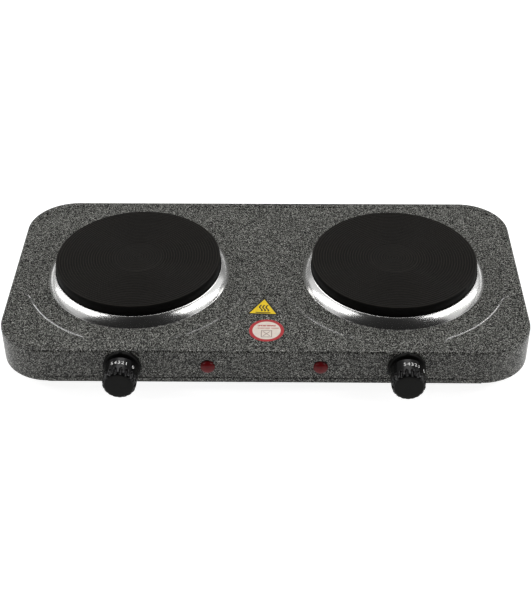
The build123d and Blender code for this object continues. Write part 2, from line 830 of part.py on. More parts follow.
with BuildPart() as neutral_leads:
    for sign in sides.values():
        start_x = ways["neutral"] + sign * twin_offset
        pin_x = sign * plate_pitch / 2
        route = [
            (start_x, block_front_y + wire_grip, way_z),
            (start_x, block_front_y - 8.0, way_z),
            (start_x + sign * 18.0, block_front_y - 24.0, high_lane),
            (pin_x - sign * 20.0, plate_y + 2.0, high_lane),
            (pin_x, plate_y - coil_inner, high_lane),
            (pin_x, plate_y - coil_inner, pin_foot_z),
        ]
        add(lead(route, wire_bend, wire_radius))
save(neutral_leads, "neutral_leads")

with BuildPart() as earth_lead:
    barrel_end = earth_y + eyelet_reach
    route = [
        (0, block_front_y + wire_grip, way_z),
        (0, block_front_y - wire_bend / 2, way_z),
        (0, barrel_end + wire_bend / 2, base_top_z + barrel_radius),
        (0, barrel_end, base_top_z + barrel_radius),
    ]
    add(lead(route, wire_bend / 4, wire_radius))
save(earth_lead, "earth_lead")

with BuildPart() as lamp_leads:
    for sign in sides.values():
        lamp_x = sign * lamp_pitch / 2
        blade_x = sign * (knob_pitch / 2 - blade_spread)
        pin_x = sign * plate_pitch / 2
        tail_y = blade_end_y - blade_tail / 2
        outer_x = lamp_x + sign * lamp_wire_offset
        inner_x = lamp_x - sign * lamp_wire_offset
        to_blade = [
            (outer_x, neon_end_y, control_z),
            (outer_x, tail_y, control_z),
            (blade_x, tail_y, control_z),
            (blade_x, tail_y, blade_z + blade_sheet / 2),
        ]
        to_pin = [
            (inner_x, neon_end_y, control_z),
            (inner_x, neon_end_y + 36.0, control_z),
            (pin_x - sign * 18.0, plate_y - coil_inner, pin_foot_z + 2.0),
            (pin_x - sign * pin_radius, plate_y - coil_inner, pin_foot_z + 2.0),
        ]
        add(lead(to_blade, lamp_wire_bend, lamp_wire_radius))
        add(lead(to_pin, lamp_wire_bend, lamp_wire_radius))
save(lamp_leads, "lamp_leads")

# ---- Labels: two thin foil stickers in the pressed field between the plates --------------------------
foil = 0.15
field_z = panel_z - field_depth
triangle_side = 30.0
triangle_corner = 0.8
triangle_turn = -3.0
triangle_aside = -1.6
triangle_usual_ahead = 57.3
disc_diameter = 31.6
disc_aside = 1.8
label_spacing = 31.8
label_room = 2.0

# Where the pads stand close together, the triangle moves forward until its base fits between them.
base_half = triangle_side / 2 + abs(triangle_aside)
pad_clear_squared = (pad_radius + label_room) ** 2 - (plate_pitch / 2 - base_half) ** 2
base_drop = triangle_side / 12**0.5
narrow_ahead = plate_forward + max(0.0, pad_clear_squared) ** 0.5 - base_drop
triangle_ahead = max(triangle_usual_ahead, narrow_ahead)
disc_ahead = triangle_ahead + label_spacing

with BuildPart() as hazard_label:
    with BuildSketch(Plane((triangle_aside, body_y - triangle_ahead, field_z))) as triangle:
        RegularPolygon(triangle_side / 3**0.5, 3, rotation=90 + triangle_turn)
        fillet(triangle.vertices(), triangle_corner)
    extrude(amount=foil)
save(hazard_label, "hazard_label")

with BuildPart() as round_label:
    with BuildSketch(Plane((disc_aside, body_y - disc_ahead, field_z))):
        Circle(disc_diameter / 2)
    extrude(amount=foil)
save(round_label, "round_label")
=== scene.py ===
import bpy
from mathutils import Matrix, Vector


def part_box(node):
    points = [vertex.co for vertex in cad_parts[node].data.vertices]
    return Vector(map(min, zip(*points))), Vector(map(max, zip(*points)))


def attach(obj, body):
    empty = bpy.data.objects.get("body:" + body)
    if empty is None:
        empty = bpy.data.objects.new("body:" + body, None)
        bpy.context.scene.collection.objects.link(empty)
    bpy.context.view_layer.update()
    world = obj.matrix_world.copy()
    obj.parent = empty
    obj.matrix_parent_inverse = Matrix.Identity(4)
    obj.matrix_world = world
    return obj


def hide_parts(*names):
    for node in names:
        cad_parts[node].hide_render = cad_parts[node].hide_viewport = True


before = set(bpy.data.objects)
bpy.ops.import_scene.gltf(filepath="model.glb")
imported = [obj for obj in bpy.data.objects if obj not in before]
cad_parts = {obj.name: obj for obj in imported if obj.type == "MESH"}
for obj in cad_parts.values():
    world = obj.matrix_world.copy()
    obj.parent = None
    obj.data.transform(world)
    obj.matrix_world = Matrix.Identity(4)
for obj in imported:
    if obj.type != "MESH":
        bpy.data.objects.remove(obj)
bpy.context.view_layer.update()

import math

import bmesh
import bpy
import numpy as np
from mathutils import Matrix, Vector
from mathutils.geometry import tessellate_polygon

# ---- Base: enamelled sheet tray ------------------------------------------------------
# The tray closes the housing from below. It is thin sheet steel with punched vents, and its straight
# sides turn up outside the housing's wall. It has the same granite-speckled stove enamel as the top.


class Wire:
    """A value running through a finish's nodes. Python's operators on it add the Math nodes."""

    def __init__(self, finish, socket):
        self.finish = finish
        self.socket = socket

    def math(self, operation, *others, clamp=False):
        settings = {"operation": operation, "use_clamp": clamp}
        return self.finish.node("ShaderNodeMath", settings, dict(enumerate((self, *others))))

    def __add__(self, other):
        return self.math("ADD", other)

    __radd__ = __add__

    def __sub__(self, other):
        return self.math("SUBTRACT", other)

    def __rsub__(self, other):
        return (self * -1.0).math("ADD", other)

    def __mul__(self, other):
        return self.math("MULTIPLY", other)

    __rmul__ = __mul__

    def above(self, low, high):
        """0 below low, 1 above high, and a smooth step between them."""
        inputs = {"Value": self, "From Min": low, "From Max": high}
        return self.finish.node("ShaderNodeMapRange", {"interpolation_type": "SMOOTHSTEP"}, inputs)

    def sin(self):
        return self.math("SINE")

    def abs(self):
        return self.math("ABSOLUTE")

    def clip(self):
        return self.math("ADD", 0.0, clamp=True)


class Finish:
    """One material: a Principled shader, with places read from the piece's own Object coordinates."""

    def __init__(self, name, **constants):
        self.material = bpy.data.materials.new(name)
        self.material.use_nodes = True
        self.tree = self.material.node_tree
        self.shader = self.tree.nodes["Principled BSDF"]
        for socket, value in constants.items():
            self.shader.inputs[socket.replace("_", " ")].default_value = value
        self.place = self.node("ShaderNodeTexCoord", {}, {}, out="Object")

    def node(self, kind, settings, inputs, out=0):
        """Adds a node: its settings first, then its sockets' values or links, by name or by number."""
        made = self.tree.nodes.new(kind)
        for setting, value in settings.items():
            if setting == "stops":
                ramp = made.color_ramp
                while len(ramp.elements) < len(value):
                    ramp.elements.new(0.5)
                for element, (position, colour) in zip(ramp.elements, value):
                    element.position = position
                    element.color = (*colour, 1.0)
            else:
                setattr(made, setting, value)
        for socket, value in inputs.items():
            if isinstance(value, Wire):
                self.tree.links.new(value.socket, made.inputs[socket])
            else:
                made.inputs[socket].default_value = value
        return Wire(self, made.outputs[out])

    def axis(self, letter):
        return self.node("ShaderNodeSeparateXYZ", {}, {0: self.place}, out="XYZ".index(letter))

    def moved(self, location=(0, 0, 0), scale=(1, 1, 1)):
        """The piece's coordinates measured from a point, then stretched by a factor on each axis."""
        offset = [-a * b for a, b in zip(location, scale)]
        inputs = {"Vector": self.place, "Location": offset, "Scale": scale}
        return self.node("ShaderNodeMapping", {}, inputs)

    def from_upright(self, x, y):
        """The distance from the upright line through a point."""
        flat = self.moved(location=(x, y, 0), scale=(1, 1, 0))
        return self.node("ShaderNodeVectorMath", {"operation": "LENGTH"}, {0: flat}, out="Value")

    def across_from(self, centre):
        """The two level coordinates, measured from a point."""
        at = self.moved(location=centre)
        return (self.node("ShaderNodeSeparateXYZ", {}, {0: at}, out=k) for k in (0, 1))

    def noise(self, size, detail=3.0, rough=0.55, at=None, out=0):
        """Cloudy noise whose blotches are about the given size, in metres."""
        inputs = {"Vector": at or self.place, "Scale": 1.0 / size, "Detail": detail, "Roughness": rough}
        return self.node("ShaderNodeTexNoise", {}, inputs, out=out)

    def cells(self, size, at=None, out="Color"):
        """One random value for each cell, cells about the given size across, in metres."""
        inputs = {"Vector": at or self.place, "Scale": 1.0 / size}
        value = self.node("ShaderNodeTexVoronoi", {}, inputs, out=out)
        return self.node("ShaderNodeSeparateColor", {}, {0: value}) if out == "Color" else value

    def ramp(self, value, *stops):
        """Colour along a value, through the given stops."""
        return self.node("ShaderNodeValToRGB", {"stops": stops}, {0: value})

    def mix(self, factor, first, second):
        """The first colour where the factor is 0, and the second where it is 1."""
        pair = [c if isinstance(c, Wire) else (*c, 1.0) for c in (first, second)]
        inputs = {0: factor, 6: pair[0], 7: pair[1]}
        return self.node("ShaderNodeMix", {"data_type": "RGBA"}, inputs, out=2)

    def feed(self, socket, value):
        self.tree.links.new(value.socket, self.shader.inputs[socket])

    def bump(self, height, depth, strength=1.0):
        """Relief from a height between 0 and 1 that stands for the given depth in metres."""
        inputs = {"Height": height, "Distance": depth, "Strength": strength}
        self.feed("Normal", self.node("ShaderNodeBump", {}, inputs))


def paint(finish, *nodes):
    """Puts a finish on carried-over frame nodes, in every material slot they have."""
    for name in nodes:
        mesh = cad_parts[name].data
        if not mesh.materials:
            mesh.materials.append(finish.material)
        for index in range(len(mesh.materials)):
            mesh.materials[index] = finish.material


def granite_enamel(name, burnished=()):
    """Stove enamel: near-black ground, crowded with grey grains and a scatter of pale ones. Along each
    burnished circle (x, y, radius) the press has left the surface smoother, so it shines more."""
    enamel = Finish(name, Specular_IOR_Level=0.05, Coat_Roughness=0.05)
    warp = enamel.noise(0.0008, detail=2.0, out="Color")
    nudge = enamel.node("ShaderNodeVectorMath", {"operation": "SCALE"}, {0: warp, "Scale": 0.0009})
    shaken = enamel.node("ShaderNodeVectorMath", {"operation": "ADD"}, {0: enamel.place, 1: nudge})
    fine = enamel.cells(0.00045, at=shaken)
    coarse = enamel.cells(0.00078, at=shaken)
    cloud = enamel.noise(0.005, detail=4.0)
    grain = fine * 0.62 + coarse * 0.38 + (cloud - 0.5) * 0.05
    tone = enamel.ramp(
        grain,
        (0.0, (0.0008, 0.0008, 0.0008)),
        (0.36, (0.0030, 0.0030, 0.0028)),
        (0.52, (0.016, 0.016, 0.0148)),
        (0.66, (0.088, 0.088, 0.081)),
        (0.82, (0.39, 0.39, 0.36)),
    )
    shine = 0.14 + grain * 0.22
    relief = grain * 0.5 + cloud * 0.5
    for x, y, radius in burnished:
        band = 1.0 - (enamel.from_upright(x, y) - radius).abs().above(0.0006, 0.0010)
        shine = shine.math("MAXIMUM", band)
        relief = relief * (1.0 - band * 0.7)
    enamel.feed("Base Color", tone)
    enamel.feed("Roughness", 0.42 - grain * 0.12)
    enamel.feed("Coat Weight", shine)
    enamel.bump(relief, 0.00003, 0.2)
    return enamel


enamel = granite_enamel("granite_enamel")
paint(enamel, "base_plate")

# ---- Tabs and base screws: zinc-coated steel -----------------------------------------
# Four bent tabs are spot-welded inside the front and rear walls. Pan-head screws come up through the
# tray into them. All are bright zinc over steel, with the usual faint yellow and blue bloom.


def zinc(name, colour, blotch=0.004):
    """Zinc plating: a metal whose tint and roughness drift in soft blotches, with fine drawing marks."""
    plating = Finish(name, Metallic=1.0)
    cloud = plating.noise(blotch, detail=5.0)
    drawn = plating.noise(0.0006, detail=2.0, at=plating.moved(scale=(1, 0.08, 1)))
    darker = [channel * 0.72 for channel in colour]
    warmer = [colour[0], colour[1] * 0.96, colour[2] * 0.84]
    tint = plating.mix(cloud.above(0.35, 0.7), plating.mix(drawn, darker, colour), warmer)
    plating.feed("Base Color", tint)
    plating.feed("Roughness", 0.26 + cloud * 0.22 + drawn * 0.08)
    plating.bump(drawn, 0.00002, 0.4)
    return plating


galvanised = zinc("galvanised_sheet", (0.50, 0.51, 0.52), blotch=0.009)
paint(galvanised, "tab_front_left", "tab_front_right", "tab_rear_left", "tab_rear_right")
zinc_screw = zinc("zinc_screw", (0.62, 0.62, 0.58))
paint(zinc_screw, "housing_screws", "foot_screws", "block_screws", "way_screws", "earth_screw")

# ---- Feet and cord bush: moulded black rubber ----------------------------------------
# Four short feet are screwed under the tray. The bush snaps into the round hole in the rear wall and
# guards the cord there: a grooved nose outside, a neck in the sheet and a lip behind it.


def linked(name, data):
    """A new object in the scene for a mesh, a light or a camera."""
    made = bpy.data.objects.new(name, data)
    bpy.context.scene.collection.objects.link(made)
    return made


def put_mesh(name, points, faces, body="housing"):
    """A mesh object from its points and faces, welded, with faces outwards and smooth shading."""
    mesh = bpy.data.meshes.new(name)
    mesh.from_pydata(np.asarray(points).tolist(), [], [list(face) for face in faces])
    weld = bmesh.new()
    weld.from_mesh(mesh)
    bmesh.ops.remove_doubles(weld, verts=weld.verts, dist=1e-6)
    bmesh.ops.recalc_face_normals(weld, faces=weld.faces)
    weld.to_mesh(mesh)
    weld.free()
    piece = linked(name, mesh)
    mesh.polygons.foreach_set("use_smooth", np.full(len(mesh.polygons), True))
    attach(piece, body)
    return piece


def turned(name, radii, heights, centre, segments, body="housing", along="Z", flute=None):
    """A turned surface: point (a, i) is at angle a round the centre, at radius radii[i] and height
    heights[i] along the axis. A radius of 0 closes on one point. flute(angles, radii, heights) may
    return changed radii, one row for each angle."""
    angles = np.linspace(0.0, 2 * math.pi, segments, endpoint=False)
    radii = np.asarray(radii, float)
    heights = np.asarray(heights, float)
    across = np.broadcast_to(radii, (segments, len(radii)))
    if flute is not None:
        across = flute(angles[:, None], radii[None, :], heights[None, :])
    first = across * np.cos(angles)[:, None]
    second = across * np.sin(angles)[:, None]
    level = np.broadcast_to(heights, first.shape)
    grid = {"Z": (first, second, level), "-Y": (first, -level, second)}[along]
    points = np.stack(grid, -1).reshape(-1, 3) + np.asarray(centre)
    rows = len(radii)
    a = np.arange(segments)[:, None]
    i = np.arange(rows - 1)[None, :]
    b = (a + 1) % segments
    corners = np.stack([a * rows + i, b * rows + i, b * rows + i + 1, a * rows + i + 1], -1).reshape(-1, 4)
    owner = np.arange(segments * rows)
    for row in np.flatnonzero(radii < 1e-9):
        owner[row::rows] = row
    corners = owner[corners]
    kept, corners = np.unique(corners, return_inverse=True)
    corners = corners.reshape(-1, 4)
    faces = [list(dict.fromkeys(face)) for face in corners.tolist()]
    return put_mesh(name, points[kept], [face for face in faces if len(face) > 2], body)


def rounded_profile(corners, bends, steps=6):
    """A profile of (radius, height) corners with each corner rounded: between the two points a bend's
    length before and after the corner, the curve is the quadratic that is tangent to both runs."""
    corners = np.asarray(corners, float)
    path = [corners[:1]]
    t = np.linspace(0, 1, steps)[:, None]
    for before, corner, after, bend in zip(corners[:-2], corners[1:-1], corners[2:], bends):
        enter = corner + (before - corner) / np.linalg.norm(before - corner) * bend
        leave = corner + (after - corner) / np.linalg.norm(after - corner) * bend
        path.append((1 - t) ** 2 * enter + 2 * t * (1 - t) * corner + t**2 * leave)
    path.append(corners[-1:])
    return np.concatenate(path)


def dress(piece, finish, slot, *stands_for):
    """Gives a new piece its finish, and hides the frame nodes that it stands for. The slot is not used."""
    piece.data.materials.append(finish.material)
    if stands_for:
        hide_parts(*stands_for)
    return piece


def moulded_rubber(name):
    """Black rubber: dull, dusty in patches, with a fine moulded grain."""
    rubber = Finish(name, Specular_IOR_Level=0.35)
    dust = rubber.noise(0.006, detail=6.0)
    grain = rubber.noise(0.0004, detail=2.0)
    tone = rubber.ramp(dust, (0.3, (0.012, 0.012, 0.012)), (0.75, (0.035, 0.034, 0.032)))
    rubber.feed("Base Color", tone)
    rubber.feed("Roughness", 0.62 + dust * 0.25)
    rubber.bump(grain, 0.00004, 0.5)
    return rubber


rubber = moulded_rubber("moulded_rubber")
corners = [
    (0.0046, 0.0080), (0.0046, 0.0), (0.0095, 0.0), (0.0098, 0.0030), (0.0092, 0.0042),
    (0.0103, 0.0054), (0.0110, 0.0120), (0.0020, 0.0120), (0.0020, 0.0080), (0.0046, 0.0080),
]
bends = [0.0004, 0.0010, 0.0003, 0.0003, 0.0003, 0.0004, 0.0003, 0.0003]
profile = rounded_profile(corners, bends)
for end in ("front", "rear"):
    for side in ("left", "right"):
        node = f"foot_{end}_{side}"
        low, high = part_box(node)
        middle = ((low[0] + high[0]) / 2, (low[1] + high[1]) / 2, low[2])
        foot = turned(node + "_rubber", *profile.T, middle, 64)
        dress(foot, rubber, "black_rubber", node)

bush_nose = 0.0070
low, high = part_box("cord_bush")
bush_middle = ((low[0] + high[0]) / 2, high[1] - bush_nose, (low[2] + high[2]) / 2)
corners = [
    (0.0036, 0.0028), (0.0036, -bush_nose), (0.0060, -bush_nose), (0.0064, -0.0052), (0.0058, -0.0046),
    (0.0070, -0.0040), (0.0088, -0.0018), (0.0095, 0.0), (0.0065, 0.0), (0.0065, 0.0008),
    (0.0095, 0.0008), (0.0093, 0.0028), (0.0036, 0.0028),
]
bends = [0.0004, 0.0008, 0.0002, 0.0002, 0.0002, 0.0005, 0.0003, 0.0002, 0.0002, 0.0003, 0.0004]
profile = rounded_profile(corners, bends)
bush = turned("cord_bush_rubber", *profile.T, bush_middle, 72, along="-Y")
dress(bush, rubber, "black_rubber", "cord_bush")

# ---- Mains entry and leads: glazed ceramic, tinned copper, woven sleeves -------------
# The cord's three wires meet the inside wiring in a screwed ceramic block on the tray. The leads are
# copper in woven glass-fibre sleeve, one colour for each job, because they pass under hot plates.


def ceramic(name, colour, glazed):
    """Fired ceramic: off-white with soft clouding and a few iron specks, more or less glazed."""
    fired = Finish(name, Coat_Weight=0.6 * glazed, Coat_Roughness=0.12)
    cloud = fired.noise(0.010, detail=5.0)
    specks = fired.cells(0.0012).above(0.965, 0.99)
    warm = [colour[0], colour[1] * 0.95, colour[2] * 0.86]
    fired.feed("Base Color", fired.mix(specks, fired.mix(cloud, warm, colour), (0.26, 0.19, 0.13)))
    fired.feed("Roughness", (0.75 - 0.35 * glazed) + cloud * 0.12)
    fired.bump(fired.noise(0.0007, detail=3.0), 0.00006, 0.6)
    return fired


def woven_sleeve(name, first, second):
    """Woven sleeve: two sets of diagonal threads crossing over the surface, a few threads tinted."""
    sleeve = Finish(name, Sheen_Weight=0.25)
    x, y, z = (sleeve.axis(letter) for letter in "XYZ")
    pitch = 2 * math.pi / 0.0009
    over = ((x + y + z) * pitch).sin() * 0.5 + 0.5
    under = ((x - y - z) * pitch).sin() * 0.5 + 0.5
    weave = (over * under).clip()
    strand = sleeve.noise(0.0025, detail=3.0)
    sleeve.feed("Base Color", sleeve.mix((weave * 0.6 + strand * 0.4).clip(), first, second))
    sleeve.feed("Roughness", 0.72 + weave * 0.15)
    sleeve.bump(weave, 0.00015, 0.8)
    return sleeve


paint(ceramic("glazed_block", (0.78, 0.76, 0.70), 1.0), "terminal_block")
paint(zinc("tinned_copper", (0.66, 0.64, 0.58)), "earth_eyelet")
paint(woven_sleeve("brown_sleeve", (0.07, 0.03, 0.015), (0.25, 0.13, 0.07)), "live_leads")
paint(woven_sleeve("white_sleeve", (0.42, 0.40, 0.36), (0.78, 0.76, 0.70)), "load_leads")
paint(woven_sleeve("blue_sleeve", (0.02, 0.05, 0.16), (0.08, 0.18, 0.45)), "neutral_leads")
paint(woven_sleeve("green_sleeve", (0.05, 0.20, 0.03), (0.62, 0.55, 0.05)), "earth_lead")
paint(woven_sleeve("lamp_sleeve", (0.50, 0.48, 0.44), (0.70, 0.68, 0.62)), "lamp_leads")

# ---- Housing: one deep-drawn, stove-enamelled sheet ----------------------------------
# The top, its rounded rim and its upright walls are one pressing. Six shallow fields are pressed in
# around the plates, with soft shoulders, and the walls are punched for the controls and the cord.
sheet = 0.0008
bend_radius = 0.0024
outline_corner = 0.0465
rim_width = 0.0074
field_depth = 0.0010
field_corner = 0.0070
shoulder = 0.0013
shoulder_blend = 0.2
pad_radius = 0.1065
neck_half = 0.0385
bar_half = 0.0365
aperture_radius = 0.0745
aperture_points = 220
bezel_radius = 0.0170
spindle_hole = 0.0055
screw_hole = 0.0017
screw_offset = 0.010
lamp_hole = 0.0047
cord_hole = 0.0067

shell_low, shell_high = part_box("top_housing")
panel_z = shell_high[2]
skirt_z = shell_low[2]
half_width = (shell_high[0] - shell_low[0]) / 2
half_depth = (shell_high[1] - shell_low[1]) / 2
body_y = (shell_high[1] + shell_low[1]) / 2
plates = {}
for side in ("left", "right"):
    low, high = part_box(f"hotplate_{side}")
    plates[side] = ((low[0] + high[0]) / 2, (low[1] + high[1]) / 2, high[2], (high[0] - low[0]) / 2)


def rounded_outline(inset, step=0.0022):
    """Points anticlockwise round the housing's outline, moved in by a distance: quarter circles at the
    corners and evenly divided straight runs between them."""
    radius = outline_corner - inset
    across = half_width - outline_corner
    deep = half_depth - outline_corner
    turns = 36
    quarter = np.linspace(0, math.pi / 2, turns + 1)
    runs = []
    for index, (sx, sy) in enumerate(((1, -1), (1, 1), (-1, 1), (-1, -1))):
        angle = quarter + (index - 1) * math.pi / 2
        arc = np.stack([sx * across + radius * np.cos(angle), sy * deep + radius * np.sin(angle)], -1)
        runs.append(arc)
        straight = 2 * (deep if index % 2 == 0 else across)
        count = int(round(straight / step))
        share = np.linspace(0, 1, count + 1)[1:-1, None]
        along = np.array([(0, 1), (-1, 0), (0, -1), (1, 0)][index], float)
        runs.append(arc[-1] + share * straight * along)
    return np.concatenate(runs) + (0, body_y)


def field_distance(points):
    """How far outside a pressed field each point is, negative inside: the largest of the distances past
    the rim, into a pad, into a neck and into the cross bar, with each meeting rounded to a radius."""
    x, y = points[..., 0], points[..., 1] - body_y
    dx = np.abs(x) - (half_width - outline_corner)
    dy = np.abs(y) - (half_depth - outline_corner)
    rim = np.hypot(np.maximum(dx, 0), np.maximum(dy, 0)) + np.minimum(np.maximum(dx, dy), 0)
    distance = rim - (outline_corner - rim_width)
    plate_x, plate_y = plates["right"][0], plates["right"][1] - body_y
    pad = pad_radius - np.hypot(np.abs(x) - plate_x, y - plate_y)
    neck = neck_half - np.abs(np.abs(x) - plate_x)
    bar = bar_half - np.abs(y)
    for other in (pad, neck, bar):
        past = np.hypot(np.maximum(distance + field_corner, 0), np.maximum(other + field_corner, 0))
        distance = np.minimum(np.maximum(distance, other), -field_corner) + past
    return distance


def field_loop(centre, furthest=0.16, count=420):
    """The closed edge of one field: on each ray from its centre, out to the furthest, the radius where
    the distance is 0, found by halving. The points are then spread evenly along the edge."""
    angle = np.linspace(0, 2 * math.pi, 2400, endpoint=False)
    ray = np.stack([np.cos(angle), np.sin(angle)], -1)
    reach = np.linspace(0, furthest, 400)
    outside = field_distance(centre + ray[:, None] * reach[None, :, None]) > 0
    first = np.argmax(outside, axis=1)
    near, far = reach[first - 1], reach[first]
    for _ in range(30):
        middle = (near + far) / 2
        inside = field_distance(centre + ray * middle[:, None]) < 0
        near = np.where(inside, middle, near)
        far = np.where(inside, far, middle)
    edge = centre + ray * near[:, None]
    closed = np.vstack([edge, edge[:1]])
    length = np.concatenate([[0], np.cumsum(np.linalg.norm(np.diff(closed, axis=0), axis=1))])
    even = np.linspace(0, length[-1], count, endpoint=False)
    return np.stack([np.interp(even, length, closed[:, k]) for k in (0, 1)], -1)


def edge_normals(loop):
    """Unit vectors square to a closed loop that runs anticlockwise, pointing outwards, each from the two
    neighbours of its point."""
    along = np.roll(loop, -1, axis=0) - np.roll(loop, 1, axis=0)
    along /= np.linalg.norm(along, axis=1, keepdims=True)
    return np.stack([along[:, 1], -along[:, 0]], -1)


def strip_faces(count, rows):
    """Quads between rows of a closed loop: point (row, i) is number row * count + i."""
    row = np.arange(rows - 1)[:, None] * count
    i = np.arange(count)[None, :]
    j = (i + 1) % count
    return np.stack([row + i, row + j, row + count + j, row + count + i], -1).reshape(-1, 4).tolist()


class Pressing:
    """Collects the housing's patches. Patches meet on equal points, which are welded at the end."""

    def __init__(self):
        self.points = []
        self.faces = []
        self.total = 0

    def add(self, points, faces):
        self.points.append(np.asarray(points, float))
        self.faces.extend([[index + self.total for index in face] for face in faces])
        self.total += len(points)

    def strip(self, rows):
        """A strip through several closed loops of the same count, outer or lower loop first."""
        self.add(np.concatenate(rows), strip_faces(len(rows[0]), len(rows)))

    def flat(self, loops, place):
        """A flat area inside the first loop and outside the others, cut into triangles."""
        cut = tessellate_polygon([[Vector((*point, 0.0)) for point in loop] for loop in loops])
        flat = np.concatenate(loops)
        self.add(place(flat), [list(face) for face in cut])


def lifted(z):
    return lambda flat: np.column_stack([flat, np.full(len(flat), z)])


def circle(centre, radius, count):
    angle = np.linspace(0, 2 * math.pi, count, endpoint=False)
    return np.stack([centre[0] + radius * np.cos(angle), centre[1] + radius * np.sin(angle)], -1)


pressing = Pressing()
quarter = np.linspace(0, math.pi / 2, 9)
rim_rows = [
    lifted(panel_z - bend_radius * (1 - math.sin(a)))(rounded_outline(bend_radius * (1 - math.cos(a))))
    for a in quarter
]
pressing.strip(rim_rows)
rim_top = rounded_outline(bend_radius)
field_centres = [
    (0.0, -0.078), (0.0, 0.088),
    (-0.209, -0.090), (0.209, -0.090), (-0.209, 0.090), (0.209, 0.090),
]
field_edges = []
for x, y in field_centres:
    loop = field_loop(np.array([x, y + body_y]))
    normals = edge_normals(loop)
    rows = []
    for share in np.linspace(1, 0, 11):
        from_end = min(share, 1 - share)
        slope = (from_end - shoulder_blend / 2) / (1 - shoulder_blend)
        if from_end < shoulder_blend:
            slope = from_end**2 / (2 * shoulder_blend * (1 - shoulder_blend))
        drop = field_depth * (slope if share > 0.5 else 1 - slope)
        rows.append(lifted(panel_z - drop)(loop + normals * shoulder * (share - 0.5)))
    pressing.strip(rows)
    field_edges.append(rows[0][:, :2])
    pressing.flat([rows[-1][:, :2]], lifted(panel_z - field_depth))
holes = []
for x, y, _, _ in plates.values():
    holes.append(circle((x, y), aperture_radius, aperture_points))
    turned_down = [(0.0, 0.0), (0.0004, 0.0003), (0.0014, 0.0004)]
    rows = [
        lifted(panel_z - drop)(circle((x, y), aperture_radius - inward, aperture_points))
        for drop, inward in turned_down
    ]
    pressing.strip(rows)
pressing.flat([rim_top, *field_edges, *holes], lifted(panel_z))


def wall_patch(facing, low_z, high_z, punched):
    """One long straight wall between the rounded corners: its outline follows the rim's own points along
    the top, and the punched circles (x, z, radius) are left open."""
    outline = rounded_outline(0.0)
    wall_y = body_y + facing * half_depth
    run = outline[np.abs(outline[:, 1] - wall_y) < 1e-9]
    run = run[np.argsort(run[:, 0])]
    top = np.column_stack([run[:, 0], np.full(len(run), high_z)])
    bottom = np.column_stack([run[::-1, 0], np.full(len(run), low_z)])
    circles = [circle((x, z), radius, 64) for x, z, radius in punched]

    def upright(flat):
        return np.column_stack([flat[:, 0], np.full(len(flat), wall_y), flat[:, 1]])

    pressing.flat([np.concatenate([bottom, top]), *circles], upright)


knobs = {}
lamps = {}
for side in ("left", "right"):
    low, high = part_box(f"knob_bezel_{side}")
    knobs[side] = ((low[0] + high[0]) / 2, high[1], low[2] + bezel_radius)
    low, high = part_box(f"lamp_lens_{side}")
    lamps[side] = ((low[0] + high[0]) / 2, high[1], (low[2] + high[2]) / 2)
control_z = lamps["left"][2]
rim_z = panel_z - bend_radius
aside = (-screw_offset, screw_offset)
punched = [(x, control_z, spindle_hole) for x, _, _ in knobs.values()]
punched += [(x + dx, control_z, screw_hole) for x, _, _ in knobs.values() for dx in aside]
punched += [(x, control_z, lamp_hole) for x, _, _ in lamps.values()]
wall_patch(-1, skirt_z, rim_z, punched)
wall_patch(1, skirt_z, rim_z, [(bush_middle[0], bush_middle[2], cord_hole)])
outline = rounded_outline(0.0)
wall = [lifted(rim_z)(outline), lifted(skirt_z)(outline)]
quads = np.array(strip_faces(len(outline), 2))
flat_run = np.abs(np.abs(outline[:, 1] - body_y) - half_depth) < 1e-9
straight = flat_run & np.roll(flat_run, -1) & (outline[:, 1] * np.roll(outline[:, 1], -1) > 0)
pressing.add(np.concatenate(wall), quads[~straight][:, ::-1].tolist())

housing = put_mesh("housing_pressing", np.concatenate(pressing.points), pressing.faces)
top_face = max(housing.data.polygons, key=lambda face: face.center.z)
if top_face.normal.z < 0:
    housing.data.flip_normals()
thickness = housing.modifiers.new("sheet", "SOLIDIFY")
thickness.thickness = sheet
thickness.offset = -1.0
level = housing.modifiers.new("level", "WEIGHTED_NORMAL")
level.weight = 90
pressed_edges = [(x, y, pad_radius) for x, y, _, _ in plates.values()]
dress(housing, granite_enamel("pressed_enamel", pressed_edges), "speckled_enamel", "top_housing")

# ---- Heating parts under each plate: wire, insulation, cover and clamp ---------------
# Each iron plate carries its heating wire bedded in pale magnesia under an aluminised cover. A stud and
# a mild-steel bar pull it down on to the housing. The wire's two pins leave through a ceramic strip.


def oxidised_wire(name):
    """Nickel-chrome wire that has been red-hot: brown-grey oxide in bands along it."""
    wire = Finish(name, Metallic=0.85)
    band = wire.noise(0.003, detail=5.0)
    wire.feed("Base Color", wire.ramp(band, (0.3, (0.10, 0.085, 0.075)), (0.7, (0.33, 0.28, 0.24))))
    wire.feed("Roughness", 0.45 + band * 0.3)
    wire.bump(wire.noise(0.0005, detail=2.0), 0.00005, 0.7)
    return wire


heating_wire = oxidised_wire("oxidised_wire")
magnesia = ceramic("pressed_magnesia", (0.80, 0.77, 0.70), 0.0)
aluminised = zinc("aluminised_cover", (0.55, 0.56, 0.57), blotch=0.015)
mild_steel = zinc("rolled_mild_steel", (0.38, 0.38, 0.39), blotch=0.012)
bright_zinc = zinc("bright_zinc", (0.62, 0.62, 0.58))
for side in ("left", "right"):
    paint(heating_wire, f"heating_coil_{side}")
    paint(magnesia, f"insulation_{side}", f"pin_strip_{side}")
    paint(aluminised, f"coil_cover_{side}")
    paint(mild_steel, f"clamp_bar_{side}")
    paint(bright_zinc, f"centre_stud_{side}", f"stud_nuts_{side}")

